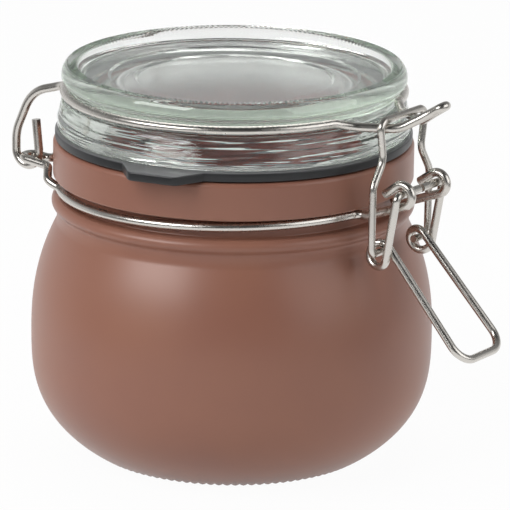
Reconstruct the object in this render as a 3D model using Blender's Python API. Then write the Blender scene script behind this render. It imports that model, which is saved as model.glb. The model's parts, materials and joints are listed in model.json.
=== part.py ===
"""Lidded storage jar: a squat coated glass jar, a clear glass lid on a flat rubber gasket, and a wire clamp.

Metres, +Z up, standing on z = 0. Every shape is drawn about the jar's own axis, with +X towards the clamp's
lever and -X towards the hinge; one empty then carries the whole jar so that the origin lies under the middle.
"""

import math

import bmesh
import bpy
from mathutils import Quaternion, Vector

MM = 0.001

# Driving dimensions of the jar's body
JAR_HEIGHT = 84.8 * MM
BODY_RADIUS = 53.75 * MM
NECK_RADIUS = 47.9 * MM
FOOT_RADIUS = 37.35 * MM
WALL = 3.6 * MM

# The belly: an egg-like curve below the belt and a flatter one above it
BELT_Z = 32.0 * MM
BELLY_POWER = 3.0
BELLY_ROUNDNESS = 0.95
SHOULDER_POWER = 2.35
SHOULDER_POWER_INSIDE = 2.0
BEARING_WIDTH = 3.85 * MM
RECESS_DEPTH = 2.0 * MM
FLOOR_Z = 5.0 * MM
FLOOR_RADIUS = 33.5 * MM

# The neck, from the rim down: a plain land, a groove for the wire, and a bead over the waist
LAND_HEIGHT = 9.96 * MM
GROOVE_HEIGHT = 5.3 * MM
GROOVE_DEPTH = 3.3 * MM
GROOVE_CHAMFER = 0.5 * MM
BEAD_RADIUS = 1.8 * MM
BEAD_PROUD = 0.4 * MM
WAIST_INSET = 1.0 * MM
WAIST_HEIGHT = 3.6 * MM
NECK_WALL = 8.5 * MM
RIM_EDGE = 1.2 * MM

# Driving dimensions of the gasket and the lid
GAP = 0.25 * MM
GASKET_THICKNESS = 2.4 * MM
GASKET_INSET = 0.5 * MM
TAB_DIRECTION = math.radians(-77.0)
TAB_REACH = 5.4 * MM
TAB_HALF_WIDTH = 7.6 * MM
TAB_ROOT_HALF_WIDTH = 11.5 * MM
TAB_CORNER = 2.2 * MM
LID_HEIGHT = 17.3 * MM
LID_INSET = 1.1 * MM
LID_EDGE = 0.6 * MM
FLANGE_HEIGHT = 8.5 * MM
FLANGE_LEAN = 1.3 * MM
LID_GROOVE_HEIGHT = 3.5 * MM
LID_GROOVE_DEPTH = 3.3 * MM
CROWN_INSET = 1.0 * MM
CROWN_LIP = 0.6 * MM
LAND_INSET = 2.1 * MM
LAND_WIDTH = 1.8 * MM
DISH_DEPTH = 3.35 * MM
DISH_SLOPE = 2.2 * MM
SHELF_WIDTH = 6.7 * MM
LEDGE_WIDTH = 7.0 * MM
WELL_DEPTH = 1.05 * MM
SPIGOT_CLEARANCE = 1.2 * MM
SPIGOT_DEPTH = 4.2 * MM
SPIGOT_WALL = 3.4 * MM
LID_THICKNESS = 4.6 * MM
HOLLOW_TAPER = 3.8 * MM

# Wire sizes; two wires that touch keep WIRE_GAP between them
RING_WIRE = 2.35 * MM
LEVER_WIRE = 2.15 * MM
LINK_WIRE = 1.95 * MM
WIRE_GAP = 0.3 * MM
RING_GAP = 0.3 * MM

# The hinge: two eyes in the neck wire, each with a hook of the lid wire through it
HINGE_HALF_SPAN = 24.0 * MM
HINGE_REACH = 3.4 * MM
HINGE_RISE = 1.5 * MM
EYE_SLOPE = 0.09
EYE_ROOT_BEND = 1.5 * MM
EYE_ENTRY_BEND = 2.6 * MM
EYE_DESCENT = math.radians(9.0)
HOOK_RADIUS = 3.85 * MM
HOOK_SHIFT = 0.45 * MM
HOOK_STUB_RISE = 1.2 * MM
HOOK_STUB_HEIGHT = 9.2 * MM
HOOK_STUB_LEAN = 0.9 * MM
ARM_BEND = 5.0 * MM
ARM_TOP_BEND = 6.0 * MM
ARM_ELBOW_BEND = 11.0 * MM
ARM_KNEE_BEND = 12.0 * MM
HOOK_STUB_BEND = 4.0 * MM
ARM_TOP_REACH = 9.4 * MM
ARM_TOP_DROP = 1.45 * MM
ARM_ELBOW_REACH = 1.95 * MM
ARM_ELBOW_DROP = 3.65 * MM
ARM_KNEE_RISE = 6.2 * MM

# The clamp: the neck wire's eyelets hold the lever, whose own eyes hold the link
EYELET_REACH = 11.7 * MM
EYELET_DROP = 4.2 * MM
EYELET_RADIUS = 2.8 * MM
EYELET_CLIMB_START = 0.7 * MM
EYELET_FRONT_BEND = 3.0 * MM
EYELET_CLIMB_BEND = 4.0 * MM
EYELET_TAIL_ANGLE = math.radians(36.0)
EYELET_TAIL = 4.7 * MM
LEVER_HALF_WIDTH = 10.6 * MM
LEVER_PIN_END = 0.6 * MM
LEVER_PIN_BEND = 1.5 * MM
COIL_INSET = 6.0 * MM
COIL_DROP = 16.5 * MM
COIL_RADIUS = 3.0 * MM
HANDLE_REACH = 26.6 * MM
HANDLE_DROP = 24.1 * MM
HANDLE_HALF_WIDTH = 9.7 * MM
HANDLE_BEND = 5.0 * MM
LINK_TOP_INSET = -0.2 * MM
LINK_TOP_HALF_WIDTH = 10.4 * MM
LINK_TOP_BEND = 2.4 * MM
LINK_WAIST_HALF_WIDTH = 8.6 * MM
LINK_WAIST_DROP = 10.5 * MM
LINK_WAIST_BEND = 5.0 * MM
LINK_SHOULDER_DROP = 17.0 * MM
LINK_SHOULDER_BEND = 4.0 * MM
LINK_PIN_BEND = 1.6 * MM
LINK_PIN_LENGTH = 6.6 * MM
NOSE_REACH = 12.85 * MM
NOSE_RISE = 6.7 * MM
NOSE_ANGLE = math.radians(33.0)
NOSE_NECK = 3.2 * MM
NOSE_NECK_BEND = 10.0 * MM
NOSE_FRONT_BEND = 8.0 * MM
NOSE_ROOT_BEND = 8.0 * MM
NOSE_TIP_RADIUS = 1.45 * MM
NOSE_SEAT_DROP = 0.8 * MM
NOSE_FRONT_REACH = 2.4 * MM
NOSE_FRONT_HALF_WIDTH = 5.2 * MM
NOSE_ROOT_REACH = 7.4 * MM
NOSE_ROOT_HALF_WIDTH = 10.6 * MM
NOSE_SPLAY = math.radians(19.0)

# Fineness of the solids
SEGMENTS = 60
PATH_TURN = 3.0
PLAN_TURN = math.radians(1.5)
DESCENT_STEPS = 24
CHORD_ERROR = 0.05 * MM
MOST_TURN = math.radians(18.0)
SHARP_ANGLE = math.radians(32.0)

# Heights and radii that follow
GASKET_Z = JAR_HEIGHT + GAP
LID_Z = GASKET_Z + GASKET_THICKNESS + GAP
MOUTH_RADIUS = NECK_RADIUS - NECK_WALL
GROOVE_RADIUS = NECK_RADIUS - GROOVE_DEPTH
LAND_Z = JAR_HEIGHT - LAND_HEIGHT
GROOVE_Z = LAND_Z - GROOVE_HEIGHT
BEAD_Z = GROOVE_Z - BEAD_RADIUS
SHOULDER_Z = BEAD_Z - BEAD_RADIUS - WAIST_HEIGHT
LID_RADIUS = NECK_RADIUS - LID_INSET
CROWN_RADIUS = LID_RADIUS - CROWN_INSET
DISH_RADIUS = CROWN_RADIUS - LAND_INSET - LAND_WIDTH - DISH_SLOPE
LEDGE_RADIUS = DISH_RADIUS - SHELF_WIDTH
WELL_RADIUS = LEDGE_RADIUS - LEDGE_WIDTH
SPIGOT_RADIUS = MOUTH_RADIUS - SPIGOT_CLEARANCE
SPIGOT_INNER_RADIUS = SPIGOT_RADIUS - SPIGOT_WALL
LID_HOLLOW_RADIUS = SPIGOT_INNER_RADIUS - HOLLOW_TAPER
LID_GROOVE_Z = LID_Z + FLANGE_HEIGHT
LID_GROOVE_RADIUS = LID_RADIUS - LID_GROOVE_DEPTH
NECK_RING_RADIUS = GROOVE_RADIUS + RING_WIRE / 2 + RING_GAP
NECK_RING_Z = GROOVE_Z + GROOVE_HEIGHT / 2
NECK_RING_TILT = GROOVE_HEIGHT / 2 - RING_WIRE / 2 - WIRE_GAP
LID_RING_RADIUS = LID_GROOVE_RADIUS + RING_WIRE / 2 + RING_GAP
LID_RING_Z = LID_GROOVE_Z + LID_GROOVE_HEIGHT / 2
LID_RING_TILT = LID_GROOVE_HEIGHT / 2 - RING_WIRE / 2 - WIRE_GAP
BACK_RADIUS = NECK_RADIUS + RING_WIRE / 2 + WIRE_GAP

# Joint axes, all along Y
HINGE = Vector((-NECK_RADIUS - HINGE_REACH, 0, LAND_Z + HINGE_RISE))
EYELET = Vector((NECK_RADIUS + EYELET_REACH, 0, JAR_HEIGHT - EYELET_DROP))
LEVER_LIFT = EYELET_RADIUS - RING_WIRE / 2 - LEVER_WIRE / 2 - WIRE_GAP
LEVER_PIVOT = EYELET + Vector((0, 0, LEVER_LIFT))
COIL = EYELET - Vector((COIL_INSET, 0, COIL_DROP))
LINK_LIFT = COIL_RADIUS - LEVER_WIRE / 2 - LINK_WIRE / 2 - WIRE_GAP
LINK_PIVOT = COIL + Vector((0, 0, LINK_LIFT))

# Half widths of the clamp's wires, each clear of the next by the same gap
EYELET_Y = LEVER_HALF_WIDTH - LEVER_WIRE / 2 - WIRE_GAP - RING_WIRE / 2
COIL_Y = LEVER_HALF_WIDTH - LEVER_WIRE - WIRE_GAP
LINK_HALF_WIDTH = LEVER_HALF_WIDTH + LEVER_WIRE / 2 + WIRE_GAP + LINK_WIRE / 2
EYE_HALF_WIDTH = RING_WIRE + WIRE_GAP

# The nose of the lid wire, and the link's crossbar lying on it
NOSE_Z = LID_RING_Z - NOSE_SEAT_DROP
LINK_TOP = Vector((LINK_PIVOT.x - LINK_TOP_INSET, 0, NOSE_Z + RING_WIRE / 2 + WIRE_GAP + LINK_WIRE / 2))

# The whole jar is shifted along X so that the origin is under the middle of its length
REACH_FRONT = COIL.x + HANDLE_REACH + LEVER_WIRE / 2
REACH_BACK = HINGE.x + HOOK_SHIFT - HOOK_RADIUS - RING_WIRE / 2
MIDDLE_X = (REACH_FRONT + REACH_BACK) / 2


def arc(middle, radius, start, end, steps):
    """Points of a circle in a plane, from one angle to another in degrees, where 0 points along the first axis."""
    angles = [math.radians(start + (end - start) * i / steps) for i in range(steps + 1)]
    return [(middle[0] + radius * math.cos(a), middle[1] + radius * math.sin(a)) for a in angles]


def material(name, color, roughness, metallic=0.0, transmission=0.0):
    made = bpy.data.materials.new(name)
    made.use_nodes = True
    shader = made.node_tree.nodes["Principled BSDF"]
    shader.inputs["Base Color"].default_value = (*color, 1.0)
    shader.inputs["Roughness"].default_value = roughness
    shader.inputs["Metallic"].default_value = metallic
    shader.inputs["Transmission Weight"].default_value = transmission
    return made


def empty(name, place, parent=None):
    """An empty on a joint's axis, at a place given about the jar's own axis."""
    made = bpy.data.objects.new(name, None)
    bpy.context.scene.collection.objects.link(made)
    made.empty_display_size = 10 * MM
    made.location = place
    if parent:
        made.parent = parent
        made.location = Vector(place) - Vector(parent["place"])
    made["place"] = place
    return made


def add(name, data, finish, carrier):
    """Links an object drawn about the jar's own axis, carried by an empty."""
    made = bpy.data.objects.new(name, data)
    bpy.context.scene.collection.objects.link(made)
    data.materials.append(finish)
    made.parent = carrier
    made.location = -Vector(carrier["place"])
    return made


def add_mesh(name, bm, finish, carrier):
    mesh = bpy.data.meshes.new(name)
    bmesh.ops.recalc_face_normals(bm, faces=bm.faces)
    bm.to_mesh(mesh)
    bm.free()
    mesh.shade_smooth()
    mesh.set_sharp_from_angle(angle=SHARP_ANGLE)
    return add(name, mesh, finish, carrier)


def turned(name, outline, finish, carrier):
    """A solid of revolution; its outline of (radius, height) points starts and ends on the axis."""
    bm = bmesh.new()
    verts = [bm.verts.new((radius, 0, z)) for radius, z in outline]
    edges = [bm.edges.new(pair) for pair in zip(verts, verts[1:])]
    bmesh.ops.spin(
        bm,
        geom=verts + edges,
        cent=(0, 0, 0),
        axis=(0, 0, 1),
        angle=2 * math.pi,
        steps=SEGMENTS,
        use_merge=True,
    )
    bmesh.ops.remove_doubles(bm, verts=bm.verts, dist=0.001 * MM)
    return add_mesh(name, bm, finish, carrier)


def belly(foot_radius, foot_z, belt_radius, steps):
    """The curve from the foot up to the belt, with its points closest where it turns most."""
    points = []
    for i in range(steps + 1):
        rise = (i / steps) ** 1.5
        bulge = (1 - (1 - rise) ** BELLY_POWER) ** BELLY_ROUNDNESS
        points.append((foot_radius + (belt_radius - foot_radius) * bulge, foot_z + (BELT_Z - foot_z) * rise))
    return points


def shoulder(belt_radius, top_radius, top_z, power, steps):
    """The curve from the belt up to the neck, without the belt's own point."""
    points = []
    for i in range(1, steps + 1):
        rise = i / steps
        points.append((belt_radius - (belt_radius - top_radius) * rise**power, BELT_Z + (top_z - BELT_Z) * rise))
    return points


def make_jar_body(finish, carrier):
    waist_radius = NECK_RADIUS - WAIST_INSET
    bead_center = NECK_RADIUS + BEAD_PROUD - BEAD_RADIUS
    bearing_inner = FOOT_RADIUS - BEARING_WIDTH
    inside = BODY_RADIUS - WALL
    outside = (
        [(0, RECESS_DEPTH), (bearing_inner - 2 * RECESS_DEPTH, RECESS_DEPTH), (bearing_inner, 0)]
        + belly(FOOT_RADIUS, 0, BODY_RADIUS, 8)
        + shoulder(BODY_RADIUS, waist_radius, SHOULDER_Z, SHOULDER_POWER, 6)
        + [(waist_radius, BEAD_Z - 2 * BEAD_RADIUS)]
        + arc((bead_center, BEAD_Z), BEAD_RADIUS, -75, 75, 5)
        + [(GROOVE_RADIUS + GROOVE_CHAMFER, GROOVE_Z), (GROOVE_RADIUS, GROOVE_Z + GROOVE_CHAMFER)]
        + [(GROOVE_RADIUS, LAND_Z - GROOVE_CHAMFER), (GROOVE_RADIUS + GROOVE_CHAMFER, LAND_Z)]
        + [(NECK_RADIUS - GROOVE_CHAMFER, LAND_Z), (NECK_RADIUS, LAND_Z + GROOVE_CHAMFER)]
        + arc((NECK_RADIUS - RIM_EDGE, JAR_HEIGHT - RIM_EDGE), RIM_EDGE, 0, 90, 2)
    )
    hollow = (
        arc((MOUTH_RADIUS + RIM_EDGE, JAR_HEIGHT - RIM_EDGE), RIM_EDGE, 90, 180, 2)
        + shoulder(inside, MOUTH_RADIUS, GROOVE_Z, SHOULDER_POWER_INSIDE, 5)[::-1]
        + belly(FLOOR_RADIUS, FLOOR_Z, inside, 6)[::-1]
        + [(0, FLOOR_Z)]
    )
    return turned("jar_body", outside + hollow, finish, carrier)


def make_lid(finish, carrier):
    top = LID_Z + LID_HEIGHT
    land_outer = CROWN_RADIUS - LAND_INSET
    land_inner = land_outer - LAND_WIDTH
    crown_bottom = LID_GROOVE_Z + LID_GROOVE_HEIGHT + CROWN_LIP
    crown_middle = (land_outer, crown_bottom + 2 * CROWN_LIP)
    crown_height = top - crown_middle[1]
    dish = [
        (0, top - DISH_DEPTH - WELL_DEPTH),
        (WELL_RADIUS, top - DISH_DEPTH - WELL_DEPTH),
        (LEDGE_RADIUS, top - DISH_DEPTH),
        (DISH_RADIUS, top - DISH_DEPTH),
        (land_inner, top),
    ]
    crown = [
        (land_outer + (CROWN_RADIUS - land_outer) * x, crown_middle[1] + crown_height * z)
        for x, z in arc((0, 0), 1, 90, 0, 5)
    ]
    side = [
        (CROWN_RADIUS - CROWN_LIP, crown_bottom),
        (LID_GROOVE_RADIUS, LID_GROOVE_Z + LID_GROOVE_HEIGHT),
        (LID_GROOVE_RADIUS, LID_GROOVE_Z),
        (LID_RADIUS - FLANGE_LEAN, LID_GROOVE_Z),
        (LID_RADIUS, LID_Z + FLANGE_HEIGHT / 3),
    ]
    edge = arc((LID_RADIUS - LID_EDGE, LID_Z + LID_EDGE), LID_EDGE, 0, -90, 2)
    ceiling = top - DISH_DEPTH - WELL_DEPTH - LID_THICKNESS
    underside = (
        [(SPIGOT_RADIUS, LID_Z)]
        + arc((SPIGOT_RADIUS - LID_EDGE, LID_Z - SPIGOT_DEPTH + LID_EDGE), LID_EDGE, 0, -90, 2)
        + [(SPIGOT_INNER_RADIUS + LID_EDGE, LID_Z - SPIGOT_DEPTH)]
        + [(SPIGOT_INNER_RADIUS, LID_Z - SPIGOT_DEPTH + LID_EDGE)]
        + [(LID_HOLLOW_RADIUS, ceiling), (0, ceiling)]
    )
    return turned("glass_lid", dish + crown + side + edge + underside, finish, carrier)


def gasket_outline(radius):
    """The gasket's outer edge as (radius, azimuth) pairs, once round, with the pull tab standing out."""
    reach = NECK_RADIUS + TAB_REACH
    root = math.asin(TAB_ROOT_HALF_WIDTH / radius)
    corner = arc((reach - TAB_CORNER, TAB_HALF_WIDTH - TAB_CORNER), TAB_CORNER, 0, 60, 3)
    half = [(math.hypot(u, v), math.atan2(v, u)) for u, v in corner] + [(radius, root)]
    tab = [(r, TAB_DIRECTION - a) for r, a in reversed(half)] + [(r, TAB_DIRECTION + a) for r, a in half]
    rest = 2 * math.pi - 2 * root
    steps = round(SEGMENTS * rest / (2 * math.pi))
    ring = [(radius, TAB_DIRECTION + root + rest * i / steps) for i in range(1, steps)]
    return tab + ring


def make_gasket(finish, carrier):
    outer = gasket_outline(NECK_RADIUS - GASKET_INSET)
    inner_radius = SPIGOT_RADIUS + WIRE_GAP
    top = GASKET_Z + GASKET_THICKNESS
    bm = bmesh.new()
    rings = []
    for radius, azimuth in outer:
        along = Vector((math.cos(azimuth), math.sin(azimuth), 0))
        places = [(inner_radius, GASKET_Z), (radius, GASKET_Z), (radius, top), (inner_radius, top)]
        rings.append([bm.verts.new(along * r + Vector((0, 0, z))) for r, z in places])
    for this, following in zip(rings, rings[1:] + rings[:1]):
        for side in range(4):
            after = (side + 1) % 4
            bm.faces.new((this[side], following[side], following[after], this[after]))
    return add_mesh("rubber_gasket", bm, finish, carrier)


def bent(corners):
    """A fine path through corners of (point, bend radius); a bend radius of 0 keeps the corner itself."""
    path = [corners[0][0]]
    for (before, _), (corner, radius), (after, _) in zip(corners, corners[1:], corners[2:]):
        if not radius:
            path.append(corner)
            continue
        back = (before - corner).normalized()
        ahead = (after - corner).normalized()
        half = back.angle(ahead) / 2
        middle = corner + (back + ahead).normalized() * radius / math.sin(half)
        spoke = corner + back * radius / math.tan(half) - middle
        axis = back.cross(ahead)
        steps = max(2, math.ceil((math.pi - 2 * half) / math.radians(PATH_TURN)))
        for i in range(steps + 1):
            turn = Quaternion(axis, -(math.pi - 2 * half) * i / steps)
            path.append(middle + turn @ spoke)
    return path + [corners[-1][0]]


def chord_fits(path, start, end):
    """Whether one straight piece stands for the path between two of its points."""
    chord = (path[end] - path[start]).normalized()
    first = path[start + 1] - path[start]
    last = path[end] - path[end - 1]
    if first.angle(last) > MOST_TURN:
        return False
    return all((path[i] - path[start]).cross(chord).length < CHORD_ERROR for i in range(start + 1, end))


def thinned(path):
    """The fewest points of a fine path that keep its shape."""
    kept = [0]
    while kept[-1] < len(path) - 1:
        end = kept[-1] + 1
        while end + 1 < len(path) and chord_fits(path, kept[-1], end + 1):
            end += 1
        kept.append(end)
    return [path[i] for i in kept]


def mirrored(half):
    """The whole wire from the half on the +Y side, which starts on the plane of symmetry."""
    return [Vector((p.x, -p.y, p.z)) for p in reversed(half[1:])] + half


def make_wire(name, half, diameter, finish, carrier):
    curve = bpy.data.curves.new(name, "CURVE")
    curve.dimensions = "3D"
    curve.bevel_depth = diameter / 2
    curve.bevel_resolution = 2
    curve.use_fill_caps = True
    points = mirrored(thinned(half))
    spline = curve.splines.new("POLY")
    spline.points.add(len(points) - 1)
    for target, point in zip(spline.points, points):
        target.co = (*point, 1.0)
    return add(name, curve, finish, carrier)


def loose(points):
    """Corners that keep their place, for stretches that are already smooth."""
    return [(Vector(point), 0) for point in points]


def ease(share):
    """A smooth step from 0 to 1."""
    share = min(max(share, 0), 1)
    return share * share * (3 - 2 * share)


def side_arc(middle, radius, start, end, start_y, end_y):
    """A fine arc seen from the side, in degrees from +X towards +Z, that may step sideways on its way."""
    steps = max(2, round(abs(end - start) / PATH_TURN))
    places = arc((middle.x, middle.z), radius, start, end, steps)
    return [Vector((x, start_y + (end_y - start_y) * i / steps, z)) for i, (x, z) in enumerate(places)]


def plan_arc(radius, start, end, height):
    """A fine arc round the jar's axis, in radians of azimuth, with its height from a function of the azimuth."""
    steps = max(2, round(abs(end - start) / PLAN_TURN))
    azimuths = [start + (end - start) * i / steps for i in range(steps + 1)]
    return [Vector((radius * math.cos(a), radius * math.sin(a), height(a))) for a in azimuths]


def tangent_angle(middle, radius, point, side):
    """Where the straight run from a point meets a round turn, in degrees; side is 1 or -1."""
    away = point - middle
    return math.degrees(math.atan2(away.z, away.x) + side * math.acos(radius / math.hypot(away.x, away.z)))


def neck_ring_height(azimuth):
    """The ring leans in its groove, highest at the clamp."""
    return NECK_RING_Z + NECK_RING_TILT * math.cos(azimuth)


def lid_ring_height(azimuth):
    return LID_RING_Z + LID_RING_TILT * math.cos(azimuth)


def eye_point(x, y):
    """A point of the hinge eye, which leans down towards the neck."""
    return Vector((x, y, HINGE.z - (x - HINGE.x) * EYE_SLOPE))


def back_point(y):
    """Where the hinge eye's wire meets the neck's plain land behind."""
    return eye_point(-math.sqrt(BACK_RADIUS**2 - y**2), y)


def hinge_eye():
    """The neck wire from behind the neck, out round the hinge eye and down into the groove, with its last azimuth."""
    root = back_point(HINGE_HALF_SPAN - EYE_HALF_WIDTH)
    entry = back_point(HINGE_HALF_SPAN + EYE_HALF_WIDTH)
    root_azimuth = math.atan2(root.y, root.x)
    entry_azimuth = math.atan2(entry.y, entry.x)
    span = plan_arc(BACK_RADIUS, math.pi, root_azimuth + 2 * PLAN_TURN, lambda azimuth: root.z)
    turn_middle = (HINGE.x + EYE_HALF_WIDTH, HINGE_HALF_SPAN)
    turn = arc(turn_middle, EYE_HALF_WIDTH, 270, 90, round(180 / PATH_TURN))
    lead = EYE_ENTRY_BEND * math.tan((entry_azimuth - math.pi / 2) / 2) / (BACK_RADIUS * EYE_DESCENT)
    descent = []
    for i in range(math.ceil(lead * DESCENT_STEPS) + 1, DESCENT_STEPS + 1):
        share = i / DESCENT_STEPS
        azimuth = entry_azimuth - EYE_DESCENT * share
        radius = BACK_RADIUS + (NECK_RING_RADIUS - BACK_RADIUS) * ease(2 * share - 1)
        height = entry.z + (neck_ring_height(azimuth) - entry.z) * ease(share)
        descent.append((radius * math.cos(azimuth), radius * math.sin(azimuth), height))
    corners = (
        loose(span)
        + [(root, EYE_ROOT_BEND)]
        + loose(eye_point(x, y) for x, y in turn)
        + [(entry, EYE_ENTRY_BEND)]
        + loose(descent)
    )
    return corners, entry_azimuth - EYE_DESCENT


def make_neck_wire(finish, carrier):
    """The hinge eye, the ring in the groove, and the eyelet that holds the lever at the front."""
    eye, ring_start = hinge_eye()
    front_azimuth = math.asin(EYELET_Y / NECK_RING_RADIUS)
    front_z = neck_ring_height(front_azimuth)
    front = Vector((NECK_RING_RADIUS * math.cos(front_azimuth), EYELET_Y, front_z))
    climb = Vector((NECK_RADIUS + EYELET_CLIMB_START, EYELET_Y, front_z))
    loop_start = tangent_angle(EYELET, EYELET_RADIUS, climb, 1)
    loop_end = 90 + math.degrees(EYELET_TAIL_ANGLE)
    loop = side_arc(EYELET, EYELET_RADIUS, loop_start, loop_end, EYELET_Y, EYELET_Y)
    tail = Vector((-math.cos(EYELET_TAIL_ANGLE), 0, -math.sin(EYELET_TAIL_ANGLE))) * EYELET_TAIL
    ring_end = front_azimuth + EYELET_FRONT_BEND / NECK_RING_RADIUS
    ring = plan_arc(NECK_RING_RADIUS, ring_start - PLAN_TURN, ring_end, neck_ring_height)
    half = bent(
        eye
        + loose(ring)
        + [(front, EYELET_FRONT_BEND), (climb, EYELET_CLIMB_BEND)]
        + loose(loop + [loop[-1] + tail])
    )
    return make_wire("neck_ring_wire", half, RING_WIRE, finish, carrier)


def nose():
    """The lid wire's nose, from its tip to where the wire enters the groove."""
    forward = Vector((math.cos(NOSE_ANGLE), 0, math.sin(NOSE_ANGLE)))
    tip = Vector((LINK_TOP.x + NOSE_REACH, 0, NOSE_Z + NOSE_RISE))
    middle = tip - forward * NOSE_TIP_RADIUS
    quarter = arc((0, 0), NOSE_TIP_RADIUS, 0, 90, round(90 / PATH_TURN))
    turn = [middle + forward * along + Vector((0, across, 0)) for along, across in quarter]
    neck = turn[-1] - forward * NOSE_NECK
    front = Vector((LINK_TOP.x + NOSE_FRONT_REACH, NOSE_FRONT_HALF_WIDTH, NOSE_Z))
    root = Vector((LINK_TOP.x - NOSE_ROOT_REACH, NOSE_ROOT_HALF_WIDTH, NOSE_Z))
    return loose(turn) + [(neck, NOSE_NECK_BEND), (front, NOSE_FRONT_BEND), (root, NOSE_ROOT_BEND)]


def hinge_arm():
    """The lid wire from the groove out over the lid's edge and down to the hook's cut end, with its first azimuth."""
    y = HINGE_HALF_SPAN
    leave = math.asin((y + ARM_BEND) / (LID_RING_RADIUS + ARM_BEND))
    groove_y = LID_RING_RADIUS * math.sin(leave)
    corner_x = -LID_RING_RADIUS * math.cos(leave) - (groove_y - y) * math.tan(leave)
    hook = Vector((HINGE.x + HOOK_SHIFT, y, HINGE.z - RING_WIRE - WIRE_GAP + HOOK_RADIUS))
    stub_x = hook.x + HOOK_RADIUS
    corners = [
        (Vector((corner_x, y, lid_ring_height(math.pi - leave))), ARM_BEND),
        (Vector((HINGE.x + ARM_TOP_REACH, y, LID_RING_Z - ARM_TOP_DROP)), ARM_TOP_BEND),
        (Vector((HINGE.x + ARM_ELBOW_REACH, y, LID_RING_Z - ARM_ELBOW_DROP)), ARM_ELBOW_BEND),
        (Vector((hook.x - HOOK_RADIUS, y, HINGE.z + ARM_KNEE_RISE)), ARM_KNEE_BEND),
    ]
    corners += loose(side_arc(hook, HOOK_RADIUS, 180, 360, y, y))
    corners += [(Vector((stub_x, y, hook.z + HOOK_STUB_RISE)), HOOK_STUB_BEND)]
    corners += loose([(stub_x - HOOK_STUB_LEAN, y, hook.z + HOOK_STUB_HEIGHT)])
    return corners, math.pi - leave


def make_lid_wire(finish, carrier):
    arm, ring_end = hinge_arm()
    ring = plan_arc(LID_RING_RADIUS, NOSE_SPLAY, ring_end - PLAN_TURN, lid_ring_height)
    return make_wire("lid_ring_wire", bent(nose() + loose(ring) + arm), RING_WIRE, finish, carrier)


def make_lever(finish, carrier):
    """From the middle of the handle up the arm, once round the coil, and up the leg to the pin in the eyelet."""
    bar = Vector((COIL.x + HANDLE_REACH, 0, COIL.z - HANDLE_DROP))
    corner = bar + Vector((0, HANDLE_HALF_WIDTH, 0))
    pivot = LEVER_PIVOT + Vector((0, LEVER_HALF_WIDTH, 0))
    coil_start = tangent_angle(COIL, COIL_RADIUS, corner, 1)
    coil_end = tangent_angle(COIL, COIL_RADIUS, pivot, -1) + 360
    coil = side_arc(COIL, COIL_RADIUS, coil_start, coil_end, COIL_Y, LEVER_HALF_WIDTH)
    half = bent(
        loose([bar])
        + [(corner, HANDLE_BEND)]
        + loose(coil)
        + [(pivot, LEVER_PIN_BEND)]
        + loose([LEVER_PIVOT + Vector((0, LEVER_PIN_END, 0))])
    )
    return make_wire("lever_wire", half, LEVER_WIRE, finish, carrier)


def link_point(half_width, z):
    """A point on the link's leaning plane."""
    share = (z - LINK_PIVOT.z) / (LINK_TOP.z - LINK_PIVOT.z)
    return Vector((LINK_PIVOT.x + (LINK_TOP.x - LINK_PIVOT.x) * share, half_width, z))


def make_link(finish, carrier):
    """From the middle of the crossbar down past the waist and shoulder to the pin in the lever's coil."""
    half = bent(
        loose([LINK_TOP])
        + [
            (link_point(LINK_TOP_HALF_WIDTH, LINK_TOP.z), LINK_TOP_BEND),
            (link_point(LINK_WAIST_HALF_WIDTH, LINK_TOP.z - LINK_WAIST_DROP), LINK_WAIST_BEND),
            (link_point(LINK_HALF_WIDTH, LINK_TOP.z - LINK_SHOULDER_DROP), LINK_SHOULDER_BEND),
            (link_point(LINK_HALF_WIDTH, LINK_PIVOT.z), LINK_PIN_BEND),
        ]
        + loose([link_point(LINK_HALF_WIDTH - LINK_PIN_LENGTH, LINK_PIVOT.z)])
    )
    return make_wire("clamp_link", half, LINK_WIRE, finish, carrier)


def main():
    for old in list(bpy.data.objects):
        bpy.data.objects.remove(old)
    coating = material("brown_coating", (0.28, 0.13, 0.09), 0.38)
    glass = material("clear_glass", (0.86, 0.93, 0.88), 0.03, transmission=1.0)
    rubber = material("dark_rubber", (0.035, 0.035, 0.037), 0.65)
    steel = material("bright_steel_wire", (0.66, 0.65, 0.63), 0.2, metallic=1.0)
    jar_axis = empty("jar_axis", (0, 0, 0))
    jar_axis.location.x = -MIDDLE_X
    lid_hinge = empty("lid_hinge", HINGE, jar_axis)
    lever_pivot = empty("lever_pivot", LEVER_PIVOT, jar_axis)
    link_pivot = empty("link_pivot", LINK_PIVOT, lever_pivot)
    make_jar_body(coating, jar_axis)
    make_neck_wire(steel, jar_axis)
    make_lid(glass, lid_hinge)
    make_gasket(rubber, lid_hinge)
    make_lid_wire(steel, lid_hinge)
    make_lever(steel, lever_pivot)
    make_link(steel, link_pivot)


main()
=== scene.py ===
"""Looks of the lidded storage jar: lacquered glass jar, pressed glass lid, rubber gasket and wire clamp.

Metres, +Z up. Every piece is drawn about the jar's own axis, with +X towards the clamp's lever and -X
towards the hinge, and stands where its solid in the frame stands.
"""

import json
import math

import bmesh
import bpy
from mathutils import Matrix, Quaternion, Vector


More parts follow.
